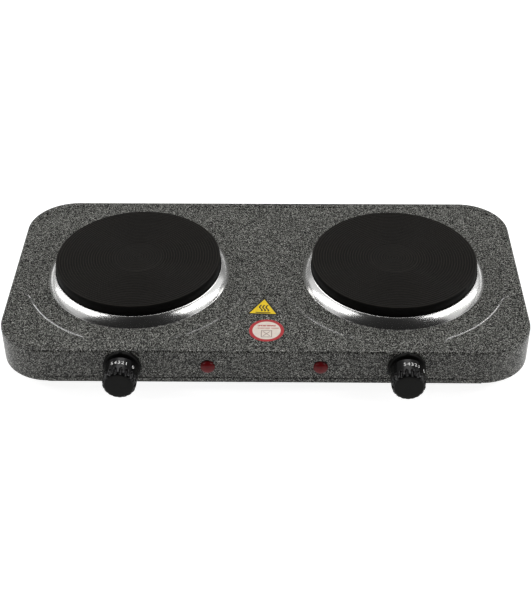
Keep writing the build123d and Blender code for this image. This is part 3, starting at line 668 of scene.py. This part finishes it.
# ---- Iron plates: turned cast iron ---------------------------------------------------
# Each cooking plate is a grey-iron casting whose top is turned with a ring tool: even rings from the
# edge to the middle zone, and closer ones inside it. It is coated with heat-proof black.
ring_pitch = 0.0025
ring_depth = 0.00060
inner_zone = 0.0220
inner_pitch = 0.0016
inner_depth = 0.00028
parting_depth = 0.00045
plate_edge = 0.0012
skirt_thickness = 0.0075
skirt_edge = 0.0006
web_depth = 0.0080
boss_radius = 0.0090


def black_iron(name, centre):
    """Coated iron: warm black with cloudy baked-on tones, tool marks round the centre and cast grain, and
    painted shade, near black, along the floor of each turned ring.
    """
    iron = Finish(name, Specular_IOR_Level=0.09)
    cloud = iron.noise(0.030, detail=6.0)
    grain = iron.noise(0.0009, detail=4.0, rough=0.7)
    radius = iron.from_upright(*centre)
    tool = (radius * (2 * math.pi / 0.00042)).sin() * 0.5 + 0.5
    tone = (cloud * 0.55 + grain * 0.45).clip()
    crest = ((radius - inner_zone) * (2 * math.pi / ring_pitch) + math.pi / 2).sin() * 0.5 + 0.5
    worn = iron.ramp(tone, (0.25, (0.0070, 0.0060, 0.0046)), (0.75, (0.0155, 0.0132, 0.0104)))
    # Painted shade: the floor of each turned ring is near black, while the crests keep the coating's
    # cloudy tone.
    iron.feed("Base Color", iron.mix(crest, (0.0008, 0.0007, 0.0006), worn))
    iron.feed("Roughness", 0.44 + cloud * 0.14 + grain * 0.08)
    iron.bump(tool * 0.4 + grain * 0.6, 0.00005, 0.6)
    return iron


def plate_profile(top_z, radius, foot_z):
    """Profile from the centre of the top to the centre of the underside. Each ring is a cosine dip whose
    period is the ring pitch; a plain groove parts the two zones; the edge is a quarter circle; below are
    the side, skirt, web and boss."""
    inner = np.arange(0.0, inner_zone - 0.0006, inner_pitch / 8)
    outer = np.arange(inner_zone, radius - plate_edge - ring_pitch * 0.4, ring_pitch / 7)
    rings = (outer - inner_zone) / ring_pitch
    dip_in = -inner_depth * (0.5 - 0.5 * np.cos(2 * math.pi * inner / inner_pitch))
    dip_out = -ring_depth * (0.5 - 0.5 * np.cos(2 * math.pi * rings)) ** 0.7
    dip_out[:3] = -parting_depth
    bend = np.linspace(0, math.pi / 2, 8)
    edge_r = radius - plate_edge + plate_edge * np.sin(bend)
    edge_z = top_z - plate_edge + plate_edge * np.cos(bend)
    top = [(inner, top_z + dip_in), (outer, top_z + dip_out), (edge_r, edge_z)]
    web_z = top_z - web_depth
    boss_z = foot_z + skirt_edge
    inside = radius - skirt_thickness
    below = [
        (radius, foot_z + skirt_edge), (radius - skirt_edge, foot_z), (inside, foot_z),
        (inside, web_z), (boss_radius, web_z), (boss_radius, boss_z), (0.0, boss_z),
    ]
    return np.concatenate([np.column_stack(run) for run in top] + [below])


for side, (x, y, top_z, radius) in plates.items():
    foot_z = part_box(f"hotplate_{side}")[0][2]
    profile = plate_profile(top_z, radius, foot_z)
    iron_plate = turned(f"iron_plate_{side}", *profile.T, (x, y, 0.0), 288)
    dress(iron_plate, black_iron(f"black_iron_{side}", (x, y)), "cast_iron", f"hotplate_{side}")

# ---- Trim rings: spun stainless steel ------------------------------------------------
# A polished collar spun from thin stainless strip grips each plate's side, spreads to a rolled edge and
# stands on the enamel. It catches the light all round and keeps spills out of the opening.
trim_sheet = 0.0005
trim_gap = 0.0002
trim_seat = 0.0050
lip_width = 0.0055


def spun_stainless(name, centre):
    """Polished stainless: mirror-like with fine lathe lines round the centre and faint heat tint."""
    steel = Finish(name, Metallic=1.0)
    cloud = steel.noise(0.020, detail=4.0)
    line = steel.node("ShaderNodeCombineXYZ", {}, {0: steel.from_upright(*centre), 1: steel.axis("Z")})
    lathe = steel.noise(0.00022, detail=3.0, at=line)
    steel.feed("Base Color", steel.mix(cloud, (0.72, 0.715, 0.70), (0.80, 0.80, 0.79)))
    steel.feed("Roughness", 0.15 + lathe * 0.08 + cloud * 0.04)
    steel.bump(lathe, 0.000012, 0.5)
    return steel


for side, (x, y, _, radius) in plates.items():
    low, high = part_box(f"trim_ring_{side}")
    reach = (high[0] - low[0]) / 2
    crown = high[2]
    lip = radius + trim_gap
    seat = low[2] + trim_seat
    t = np.linspace(0, 1, 22)[:, None]
    foot = np.array([[reach - 0.0004, low[2] + 0.0002]])
    knee = np.array([[(reach + lip) / 2 + 0.0014, (low[2] + crown) / 2 + 0.0007]])
    head = np.array([[lip + 0.0016, crown - 0.0002]])
    flare = (1 - t) ** 2 * foot + 2 * t * (1 - t) * knee + t**2 * head
    skin = [
        (lip - lip_width, seat - trim_sheet), (lip + trim_sheet, seat - trim_sheet),
        (lip + trim_sheet, crown - 0.0016), (reach - 0.0026, low[2] + 0.0016), (reach - 0.0012, low[2]),
        (reach - 0.0002, low[2]),
    ]
    rim = [
        (lip + 0.0008, crown), (lip + 0.0002, crown - 0.0003), (lip, crown - 0.0010), (lip, seat),
        (lip - lip_width, seat), (lip - lip_width, seat - trim_sheet),
    ]
    profile = np.concatenate([skin, flare, rim])
    collar = turned(f"stainless_collar_{side}", *profile.T, (x, y, 0.0), 256)
    dress(collar, spun_stainless(f"spun_stainless_{side}", (x, y)), "stainless_trim", f"trim_ring_{side}")

# ---- Controls: thermostats, bezels, spindles and knobs -------------------------------
# A ceramic thermostat is screwed behind the wall at each control. Its steel spindle carries a moulded
# black knob with a fluted grip, and a flat black bezel with a pointer hides the screws.


def stamped_brass(name):
    """Brass strip: yellow metal, browned in patches, with rolling marks along it."""
    brass = Finish(name, Metallic=1.0)
    tarnish = brass.noise(0.003, detail=5.0)
    rolled = brass.noise(0.0005, detail=2.0, at=brass.moved(scale=(1, 0.1, 1)))
    tone = brass.ramp(tarnish, (0.3, (0.62, 0.46, 0.20)), (0.75, (0.36, 0.24, 0.11)))
    brass.feed("Base Color", tone)
    brass.feed("Roughness", 0.25 + tarnish * 0.25 + rolled * 0.08)
    brass.bump(rolled, 0.00002, 0.4)
    return brass


def turned_steel(name):
    """Turned bar: bright steel with fine rings square to its length, which runs front to back."""
    steel = Finish(name, Metallic=1.0)
    rings = steel.noise(0.0004, detail=2.0, at=steel.moved(scale=(0.05, 1, 0.05)))
    cloud = steel.noise(0.004, detail=4.0)
    steel.feed("Base Color", steel.mix(cloud, (0.50, 0.50, 0.50), (0.66, 0.66, 0.65)))
    steel.feed("Roughness", 0.20 + rings * 0.16 + cloud * 0.08)
    steel.bump(rings, 0.00002, 0.5)
    return steel


def black_moulding(name, satin_front, shine, dull):
    """Black phenolic: deep gloss that is dulled by fine scuffs, and matt on the flat front face."""
    black = Finish(name, Specular_IOR_Level=0.08, Coat_Roughness=0.10)
    scuff = black.noise(0.0025, detail=7.0, rough=0.65)
    grain = black.noise(0.0003, detail=2.0)
    front = 1.0 - black.axis("Y").above(satin_front, satin_front + 0.0002)
    tone = black.mix(front, (0.0032, 0.0032, 0.0033), (0.0060, 0.0060, 0.0055))
    worn = black.mix(scuff.above(0.55, 0.8) * 0.2, tone, (0.016, 0.016, 0.015))
    black.feed("Base Color", worn)
    black.feed("Roughness", (shine + scuff * 0.12) * (1.0 - front) + front * (dull + scuff * 0.1))
    black.feed("Coat Weight", (1.0 - front) * (0.28 - scuff * 0.14))
    black.bump(grain * (0.2 + front * 0.8), 0.00003, 0.4)
    return black


white_glaze = ceramic("thermostat_ceramic", (0.74, 0.72, 0.66), 0.7)
brass = stamped_brass("stamped_brass")
bar_steel = turned_steel("turned_steel")
knob_depth = 0.0215
knob_base_radius = 0.0158
knob_tip_radius = 0.0149
knob_edge = 0.0040
knob_wall = 0.0038
knob_roof = 0.0030
flute_count = 18
flute_length = 0.0080
flute_bite = 0.0019
flute_half = 0.0016
climb_rise = 0.0032
climb_run = 0.0035
run_out = 0.0020
bezel_thickness = 0.0035
pointer_rise = 0.0016
pointer_half_angle = 0.115
figure_size = 0.0052
figures_back = 0.0072


def fluted(angles, radii, heights):
    """Radius with flutes: a cutter running along the grip leaves the smaller of the knob's own radius and
    the cut's floor. The floor is lowest at each flute's middle, rises as one less a square towards its
    sides, and climbs out of the surface behind the grip along a parabola."""
    pitch = 2 * math.pi / flute_count
    aside = (np.mod(angles + pitch / 2, pitch) - pitch / 2) * knob_tip_radius
    depth = flute_bite * np.clip(1 - (aside / flute_half) ** 2, 0, 1) ** 0.8
    behind = np.clip(knob_depth - flute_length + run_out - heights, 0, None)
    climb = climb_rise * (behind / climb_run) ** 2
    cone = knob_base_radius - (knob_base_radius - knob_tip_radius) * heights / knob_depth
    return np.where(radii > knob_tip_radius - knob_edge, np.minimum(radii, cone - depth + climb), radii)


def pointed(angles, radii, heights):
    """Radius with one small rounded bump at the top, where the bezel marks the setting."""
    turn = np.angle(np.exp(1j * (angles - math.pi / 2)))
    bump = np.clip(1 - (turn / pointer_half_angle) ** 2, 0, 1) ** 0.5
    return radii + pointer_rise * bump * np.clip((radii - 0.0150) / 0.0015, 0, 1)


def figure(name, text, size, centre, turn, set_back, finish):
    """A flat figure laid on the collar: its width becomes an angle round the spindle, its height a length
    along it, and each point's radius is the collar's own there plus a hair's breadth of paint."""
    curve = bpy.data.curves.new(name, "FONT")
    curve.body = text
    curve.size = size
    curve.align_x = "CENTER"
    curve.align_y = "CENTER"
    curve.resolution_u = 3
    holder = bpy.data.objects.new(name, curve)
    mesh = bpy.data.meshes.new_from_object(holder)
    bpy.data.objects.remove(holder)
    flat = np.empty(len(mesh.vertices) * 3)
    mesh.vertices.foreach_get("co", flat)
    flat = flat.reshape(-1, 3)
    height = set_back - flat[:, 1]
    radius = knob_base_radius - (knob_base_radius - knob_tip_radius) * height / knob_depth + 0.00006
    angle = math.pi / 2 - turn - flat[:, 0] / radius
    placed = np.stack([radius * np.cos(angle), -height, radius * np.sin(angle)], -1) + centre
    mesh.vertices.foreach_set("co", placed.ravel())
    mesh.update()
    piece = linked(name, mesh)
    mesh.materials.append(finish.material)
    return piece


ink = Finish("figure_paint", Specular_IOR_Level=0.3)
rubbed = ink.noise(0.0006, detail=4.0)
ink.feed("Base Color", ink.ramp(rubbed, (0.3, (0.60, 0.60, 0.59)), (0.6, (0.92, 0.92, 0.90))))
ink.feed("Roughness", 0.45 + rubbed * 0.2)

for side, (x, wall_y, z) in knobs.items():
    paint(white_glaze, f"thermostat_{side}")
    paint(brass, f"contact_blades_{side}")
    paint(zinc_screw, f"thermostat_screws_{side}")
    paint(bar_steel, f"spindle_{side}")

    corners = [
        (spindle_hole, 0.0), (bezel_radius, 0.0), (bezel_radius, bezel_thickness),
        (0.0150, bezel_thickness), (spindle_hole, bezel_thickness), (spindle_hole, 0.0),
    ]
    profile = rounded_profile(corners, [0.0002, 0.0011, 0.0004, 0.0003], steps=5)
    bezel = turned(f"bezel_{side}_plate", *profile.T, (x, wall_y, z), 256, "housing", "-Y", pointed)
    bezel_black = black_moulding(f"bezel_black_{side}", 1.0, 0.30, 0.42)
    dress(bezel, bezel_black, "bezel_plastic", f"knob_bezel_{side}")

    low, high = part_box(f"knob_{side}")
    base_y = high[1]
    taper = (knob_base_radius - knob_tip_radius) / knob_depth
    cavity = knob_base_radius - knob_wall
    ceiling = knob_depth - knob_roof
    side_h = np.linspace(0.0006, knob_depth - knob_edge, 44)
    bend = np.linspace(0, math.pi / 2, 12)[1:]
    side_end = knob_base_radius - taper * side_h[-1]
    inside_r = [0.0, cavity - 0.0004, cavity, cavity, cavity + 0.0004, knob_base_radius - 0.0006]
    inside_h = [ceiling, ceiling, ceiling - 0.0004, 0.0004, 0.0, 0.0]
    edge_r = side_end - knob_edge * (1 - np.cos(bend))
    edge_h = knob_depth - knob_edge * (1 - np.sin(bend))
    skin_r = np.concatenate([inside_r, knob_base_radius - taper * side_h, edge_r, [0.0060, 0.0]])
    skin_h = np.concatenate([inside_h, side_h, edge_h, [knob_depth, knob_depth]])
    grip = turned(f"fluted_knob_{side}", skin_r, skin_h, (x, base_y, z), flute_count * 22,
                  f"control_{side}", "-Y", fluted)
    knob_black = black_moulding(f"knob_black_{side}", low[1] + 0.0003, 0.15, 0.45)
    dress(grip, knob_black, "knob_plastic", f"knob_{side}")
    marks = [("5", -0.42), ("4", -0.21), ("3", 0.0), ("2", 0.21), ("1", 0.42), ("0", 0.88)]
    shift = {"left": 0.0, "right": 0.2}[side]
    for text, turn in marks:
        mark = figure(f"figure_{side}_{text}", text, figure_size, (x, base_y, z), turn + shift,
                      figures_back, ink)
        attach(mark, f"control_{side}")

# ---- Lamps: moulded red lenses over neon tubes ---------------------------------------
# A dark red dome shows when its plate is on. Its stem is pushed through the wall, and a small glass
# neon tube sits inside the stem.


def red_plastic(name):
    """Deep red see-through plastic, clouded a little and prismed inside."""
    red = Finish(name, Specular_IOR_Level=0.1, Coat_Weight=0.12, Coat_Roughness=0.05)
    cloud = red.noise(0.0018, detail=4.0)
    tone = red.ramp(cloud, (0.25, (0.055, 0.0025, 0.0035)), (0.8, (0.165, 0.0060, 0.0080)))
    red.feed("Base Color", tone)
    red.feed("Roughness", 0.22 + cloud * 0.18)
    red.bump(cloud, 0.00010, 0.5)
    return red


def neon_glass(name):
    """Clear blown glass, faintly smoked near the electrodes."""
    glass = Finish(name, Transmission_Weight=0.8, IOR=1.47)
    smoke = glass.noise(0.002, detail=4.0)
    glass.feed("Base Color", glass.ramp(smoke, (0.3, (0.90, 0.86, 0.82)), (0.8, (0.62, 0.50, 0.42))))
    glass.feed("Roughness", 0.04 + smoke * 0.12)
    return glass


lens_red = red_plastic("lens_red")
tube_glass = neon_glass("neon_tube_glass")
lens_radius = 0.0064
lens_rise = 0.0045
lens_band = 0.0009
stem_radius = 0.0045
stem_bore = 0.0035
stem_end = -0.0130
stem_roof = -0.0010
for side, (x, wall_y, z) in lamps.items():
    low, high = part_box(f"lamp_lens_{side}")
    face_y = low[1] + lens_rise
    t = np.linspace(0, math.pi / 2, 14)
    dome_r = lens_radius * np.sin(t)
    dome_h = lens_band + (lens_rise - lens_band) * np.cos(t)
    back = [
        (lens_radius, 0.0), (stem_radius, 0.0), (stem_radius, stem_end),
        (stem_bore, stem_end), (stem_bore, stem_roof), (0.0, stem_roof),
    ]
    profile = np.concatenate([np.column_stack([dome_r, dome_h]), back])
    lens = turned(f"lens_dome_{side}", *profile.T, (x, face_y, z), 96, along="-Y")
    dress(lens, lens_red, "red_lens", f"lamp_lens_{side}")
    paint(tube_glass, f"neon_bulb_{side}")

# ---- Stickers: printed foil ----------------------------------------------------------
# Two foil stickers lie in the front field: a yellow triangle with a dark border and a heat sign, and a
# pale disc in a red ring. Their print is generic and carries no words.


def heat_triangle(name, centre, side_length, turn):
    """Yellow foil: the distance in from the nearest side gives the dark border, and three wavy strokes
    are lines whose middle swings as a sine along their height. The print is turned with the foil."""
    foil = Finish(name, Specular_IOR_Level=0.2, Coat_Weight=0.1, Coat_Roughness=0.15)
    across, along = foil.across_from(centre)
    x = across * math.cos(turn) + along * math.sin(turn)
    y = along * math.cos(turn) - across * math.sin(turn)
    inner = side_length / (2 * math.sqrt(3))
    left = inner - (x * -0.8660 + y * 0.5)
    right = inner - (x * 0.8660 + y * 0.5)
    base = inner + y
    edge = left.math("MINIMUM", right).math("MINIMUM", base)
    border = 1.0 - edge.above(0.0014, 0.0017)
    swing = (y * (2 * math.pi / 0.0084)).sin() * -0.0009 - y * 0.14
    strokes = None
    for offset in (-0.0024, 0.0006, 0.0036):
        stroke = 1.0 - (x - swing - offset).abs().above(0.0006, 0.0009)
        strokes = stroke if strokes is None else strokes.math("MAXIMUM", stroke)
    window = (y + 0.0038).above(0.0, 0.0003) * (1.0 - (y - 0.0056).above(0.0, 0.0003))
    under = 1.0 - (y + 0.0060 - x.abs() * 0.06).abs().above(0.0005, 0.0008)
    bar = under * (1.0 - x.abs().above(0.0066, 0.0070))
    print_mask = border.math("MAXIMUM", strokes * window).math("MAXIMUM", bar)
    worn = foil.noise(0.002, detail=5.0)
    yellow = foil.ramp(worn, (0.3, (0.62, 0.43, 0.005)), (0.7, (0.74, 0.53, 0.010)))
    foil.feed("Base Color", foil.mix(print_mask, yellow, (0.010, 0.009, 0.006)))
    foil.feed("Roughness", 0.34 + worn * 0.14)
    return foil


def ringed_disc(name, centre, radius):
    """Pale foil: the distance from the middle gives the red ring. Two rows of broken bars stand for
    print, as stripes along the height cut by cells, over a small crossed square."""
    foil = Finish(name, Specular_IOR_Level=0.2, Coat_Weight=0.1, Coat_Roughness=0.15)
    x, y = foil.across_from(centre)
    ring = foil.from_upright(centre[0], centre[1]).above(radius - 0.0032, radius - 0.0029)
    bold = (1.0 - (y - 0.0068).abs().above(0.0009, 0.0012)) * (1.0 - x.abs().above(0.0080, 0.0084))
    thin = (1.0 - (y - 0.0032).abs().above(0.0005, 0.0008)) * (1.0 - x.abs().above(0.0108, 0.0112))
    broken = foil.cells(0.0010).above(0.12, 0.28)
    box = x.abs().math("MAXIMUM", (y + 0.0047).abs()) - 0.0046
    square = 1.0 - box.abs().above(0.0003, 0.0006)
    cross = (x.abs() - (y + 0.0047).abs()).abs()
    strokes = (1.0 - cross.above(0.0004, 0.0008)) * (1.0 - box.above(-0.0014, -0.0011))
    rows = bold.math("MAXIMUM", thin * 0.8) * broken
    mark = square.math("MAXIMUM", strokes)
    worn = foil.noise(0.003, detail=5.0)
    paper = foil.ramp(worn, (0.3, (0.58, 0.51, 0.45)), (0.7, (0.67, 0.60, 0.53)))
    printed = foil.mix(mark * 0.7, foil.mix(rows * 0.85, paper, (0.36, 0.040, 0.036)), (0.16, 0.10, 0.09))
    foil.feed("Base Color", foil.mix(ring, printed, (0.36, 0.022, 0.026)))
    foil.feed("Roughness", 0.34 + worn * 0.14)
    return foil


low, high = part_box("hazard_label")
triangle_side = 0.0300
triangle_corner = 0.0008
triangle_turn = math.radians(-3.0)
corner_reach = triangle_side / math.sqrt(3) - 2 * triangle_corner
lower_right = triangle_turn - math.pi / 6
triangle_centre = (
    high[0] - triangle_corner - corner_reach * math.cos(lower_right),
    low[1] + triangle_corner - corner_reach * math.sin(lower_right),
    high[2],
)
paint(heat_triangle("heat_triangle", triangle_centre, triangle_side, triangle_turn), "hazard_label")
low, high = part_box("round_label")
disc_centre = ((low[0] + high[0]) / 2, (low[1] + high[1]) / 2, high[2])
paint(ringed_disc("ringed_disc", disc_centre, (high[0] - low[0]) / 2), "round_label")

# ---- Setting: pale floor, soft light, camera -----------------------------------------
# The pale floor glows evenly. A wide soft lamp overhead and one at each side give the long bright streaks
# in the steel, and two tubes at each side give the glints on the pressed edges. The room is dim behind
# and nearly dark in front.


def soft_lamp(name, place, target, width, height, brightness, roll=0.0):
    """A soft box of the given size: its power is its brightness times its area times pi."""
    light = bpy.data.lights.new(name, "AREA")
    light.shape = "RECTANGLE"
    light.size = width
    light.size_y = height
    light.energy = brightness * width * height * math.pi
    lamp = linked(name, light)
    lamp.location = place
    facing = (Vector(target) - Vector(place)).to_track_quat("-Z", "Y").to_matrix().to_4x4()
    lamp.rotation_euler = (facing @ Matrix.Rotation(roll, 4, "Z")).to_euler()


tube_roll = math.radians(33.7)
soft_lamp("lamp_left", (-1.5, 0.20, 0.82), (-0.1, 0, 0.03), 2.2, 1.3, 0.50)
soft_lamp("lamp_right", (1.5, 0.20, 0.82), (0.1, 0, 0.03), 2.2, 1.3, 0.64)
soft_lamp("lamp_above", (0, 0.80, 1.75), (0, 0, 0.03), 2.4, 1.3, 3.1)
soft_lamp("tube_left", (-1.36, -0.058, 0.729), (-0.19, -0.07, 0.047), 1.5, 0.14, 7.5, tube_roll)
soft_lamp("low_tube_left", (-1.11, -0.23, 0.98), (0.05, -0.07, 0.047), 1.2, 0.10, 4.5, tube_roll)
soft_lamp("low_tube_right", (1.11, -0.23, 0.98), (-0.05, -0.07, 0.047), 1.2, 0.10, 4.5, -tube_roll)
soft_lamp("tube_right", (1.36, -0.058, 0.729), (0.19, -0.07, 0.047), 1.5, 0.14, 7.5, -tube_roll)

world = bpy.data.worlds.new("studio")
bpy.context.scene.world = world
world.use_nodes = True
nodes = world.node_tree.nodes
links = world.node_tree.links
direction = nodes.new("ShaderNodeTexCoord").outputs["Generated"]
apart = nodes.new("ShaderNodeSeparateXYZ")
links.new(direction, apart.inputs[0])
fade = nodes.new("ShaderNodeMapRange")
fade.interpolation_type = "SMOOTHSTEP"
fade.inputs["From Min"].default_value = -0.55
fade.inputs["From Max"].default_value = 0.45
fade.inputs["To Min"].default_value = 0.015
fade.inputs["To Max"].default_value = 0.28
links.new(apart.outputs["Y"], fade.inputs["Value"])
links.new(fade.outputs["Result"], nodes["Background"].inputs["Strength"])
nodes["Background"].inputs["Color"].default_value = (1.0, 1.0, 1.0, 1.0)
bpy.context.scene.view_settings.view_transform = "Standard"

floor_mesh = bpy.data.meshes.new("floor")
floor_mesh.from_pydata([(-6, -6, 0), (6, -6, 0), (6, 6, 0), (-6, 6, 0)], [], [(0, 1, 2, 3)])
floor = linked("floor", floor_mesh)
pale = Finish("pale_floor", Base_Color=(0.35, 0.35, 0.35, 1.0), Roughness=0.9,
              Emission_Color=(1.0, 1.0, 1.0, 1.0), Emission_Strength=0.90)
floor_mesh.materials.append(pale.material)

view_turn, view_rise, view_roll = math.radians(1.23), math.radians(37.47), math.radians(-0.47)
view_distance = 1.16983
view_target = Vector((0.00013, body_y - 0.0451, panel_z))
back = Vector((
    math.sin(view_turn) * math.cos(view_rise),
    -math.cos(view_turn) * math.cos(view_rise),
    math.sin(view_rise),
))
right = (-back).cross(Vector((0, 0, 1))).normalized()
up = right.cross(-back)
tilted_right = right * math.cos(view_roll) + up * math.sin(view_roll)
tilted_up = up * math.cos(view_roll) - right * math.sin(view_roll)
camera_data = bpy.data.cameras.new("camera")
camera_data.sensor_width = 36.0
camera_data.lens = 75.37
camera = linked("camera", camera_data)
turn = Matrix((tilted_right, tilted_up, back)).transposed().to_4x4()
camera.matrix_world = Matrix.Translation(view_target + back * view_distance) @ turn
bpy.context.scene.camera = camera

bpy.context.view_layer.update()
